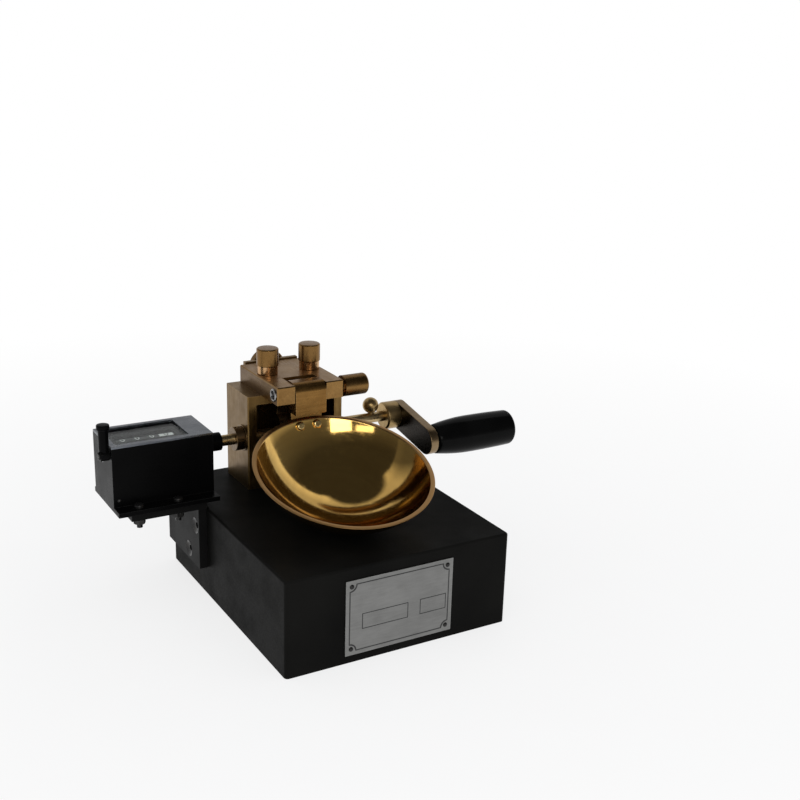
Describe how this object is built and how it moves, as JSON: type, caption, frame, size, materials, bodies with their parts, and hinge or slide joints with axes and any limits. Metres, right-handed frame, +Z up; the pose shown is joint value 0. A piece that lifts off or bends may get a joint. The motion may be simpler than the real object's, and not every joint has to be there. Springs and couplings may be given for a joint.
{
  "type": "liquid limit device",
  "caption": "Soil test device: brass cup hinged over a hard black base, lifted and dropped by a cam on a hand-cranked shaft, with a sliding clamped head and a stroke counter.",
  "frame": {"origin": "centre of the base block's underside", "axes": "+X to the right along the front, towards the crank grip; +Y away from the front, from the nameplate to the adjusting knob; +Z up"},
  "size_m": [0.2368, 0.1526, 0.127],
  "materials": {
    "hard_rubber": "smooth, slight sheen, moulded hard rubber",
    "plate": "satin brushed sheet",
    "rivet": "bright drive rivets",
    "frame_brass": "dull milled and brushed",
    "cup_brass": "polished, light handling marks",
    "knob_brass": "turned and knurled",
    "drive_brass": "bronzed brass, turned",
    "steel": "bright machined",
    "dark_steel": "black oxide",
    "black_paint": "satin black paint",
    "bezel": "satin silver",
    "window": "clear, slightly smoked",
    "wheels": "moulded number wheels",
    "gear_brass": "cut gears",
    "grip_plastic": "glossy black, rounded"
  },
  "bodies": {
    "base": {"base_block": "hard_rubber", "nameplate": "plate", "nameplate_rivets": "rivet", "frame_body": "frame_brass", "frame_bolts": "steel", "shaft_bush_left": "drive_brass", "shaft_bush_right": "drive_brass", "keeper_plate": "frame_brass", "keeper_screws": "steel", "counter_bracket": "black_paint", "bracket_screws": "dark_steel", "counter_housing": "black_paint", "neck_bush": "drive_brass", "counter_bezel": "bezel", "counter_window": "window", "flange_screws": "steel", "flange_nuts": "steel", "centre_plate": "steel", "wheel_axle": "steel", "lever_pin": "steel"},
    "carriage": {"carriage": "frame_brass"},
    "clamp_left": {"clamp_knob_left": "knob_brass"},
    "clamp_right": {"clamp_knob_right": "knob_brass"},
    "adjuster": {"adjusting_screw": "steel", "adjusting_knob": "knob_brass"},
    "pin": {"hinge_pin": "steel", "pin_knob": "knob_brass"},
    "cup": {"cup": "cup_brass", "cup_screws": "steel", "hanger": "cup_brass", "follower_plate": "steel", "follower_screws": "steel"},
    "crank": {"crankshaft": "drive_brass", "cam": "drive_brass", "cam_grub": "steel", "shaft_collar": "drive_brass", "collar_grub": "steel", "ball_stud": "knob_brass", "crank_hub": "drive_brass", "crank_arm": "drive_brass", "grip_spindle": "steel", "drive_pinion": "gear_brass"},
    "grip": {"grip": "grip_plastic"},
    "layshaft": {"layshaft": "steel", "lay_gear": "gear_brass", "lay_pinion": "gear_brass"},
    "units": {"units_wheel": "wheels", "units_gear": "gear_brass"},
    "tens": {"tens_wheel": "wheels"},
    "hundreds": {"hundreds_wheel": "wheels"},
    "thousands": {"thousands_wheel": "wheels"},
    "lever": {"reset_lever": "black_paint"}
  },
  "joints": [
    {"name": "carriage_slide", "type": "slide", "parent": "base", "child": "carriage", "axis": [0, -1, 0], "range_m": [0, 0.003]},
    {"name": "adjuster_turn", "type": "hinge", "parent": "base", "child": "adjuster", "pos_m": [-0.005, 0.0734, 0.108], "axis": [0, 1, 0], "range_deg": [0, 1080]},
    {"name": "clamp_left_turn", "type": "hinge", "parent": "base", "child": "clamp_left", "pos_m": [-0.0175, 0.0445, 0.115], "axis": [0, 0, 1], "range_deg": [0, 270]},
    {"name": "clamp_right_turn", "type": "hinge", "parent": "base", "child": "clamp_right", "pos_m": [0.0075, 0.0445, 0.115], "axis": [0, 0, 1], "range_deg": [0, 270]},
    {"name": "pin_slide", "type": "slide", "parent": "carriage", "child": "pin", "axis": [1, 0, 0], "range_m": [0, 0.032]},
    {"name": "crank_turn", "type": "hinge", "parent": "base", "child": "crank", "pos_m": [0, 0.0445, 0.078], "axis": [-1, 0, 0], "range_deg": [0, 300]},
    {"name": "cup_lift", "type": "hinge", "parent": "carriage", "child": "cup", "pos_m": [-0.005, 0.021, 0.1078], "axis": [-1, 0, 0], "range_deg": [0, 10]},
    {"name": "grip_spin", "type": "hinge", "parent": "crank", "child": "grip", "pos_m": [0.098, 0.01144, 0.07199], "axis": [1, 0, 0], "continuous": true},
    {"name": "layshaft_turn", "type": "hinge", "parent": "base", "child": "layshaft", "pos_m": [-0.065, 0.0445, 0.0689], "axis": [-1, 0, 0], "range_deg": [-90.1, 0]},
    {"name": "units_turn", "type": "hinge", "parent": "base", "child": "units", "pos_m": [-0.0758, 0.0445, 0.078], "axis": [-1, 0, 0], "range_deg": [0, 30.1]},
    {"name": "tens_turn", "type": "hinge", "parent": "base", "child": "tens", "pos_m": [-0.0836, 0.0445, 0.078], "axis": [-1, 0, 0], "continuous": true},
    {"name": "hundreds_turn", "type": "hinge", "parent": "base", "child": "hundreds", "pos_m": [-0.0914, 0.0445, 0.078], "axis": [-1, 0, 0], "continuous": true},
    {"name": "thousands_turn", "type": "hinge", "parent": "base", "child": "thousands", "pos_m": [-0.0992, 0.0445, 0.078], "axis": [-1, 0, 0], "continuous": true},
    {"name": "lever_swing", "type": "hinge", "parent": "base", "child": "lever", "pos_m": [-0.1127, 0.0315, 0.085], "axis": [-1, 0, 0], "range_deg": [0, 30], "stiffness_Nm_per_rad": 0.02}
  ],
  "couplings": [
    {"joint": "cup_lift", "follows": "crank_turn", "ratio": 0.033333},
    {"joint": "layshaft_turn", "follows": "crank_turn", "ratio": -0.3},
    {"joint": "units_turn", "follows": "crank_turn", "ratio": 0.1},
    {"joint": "adjuster_turn", "follows": "carriage_slide", "rad_per_m": 6283.2}
  ]
}
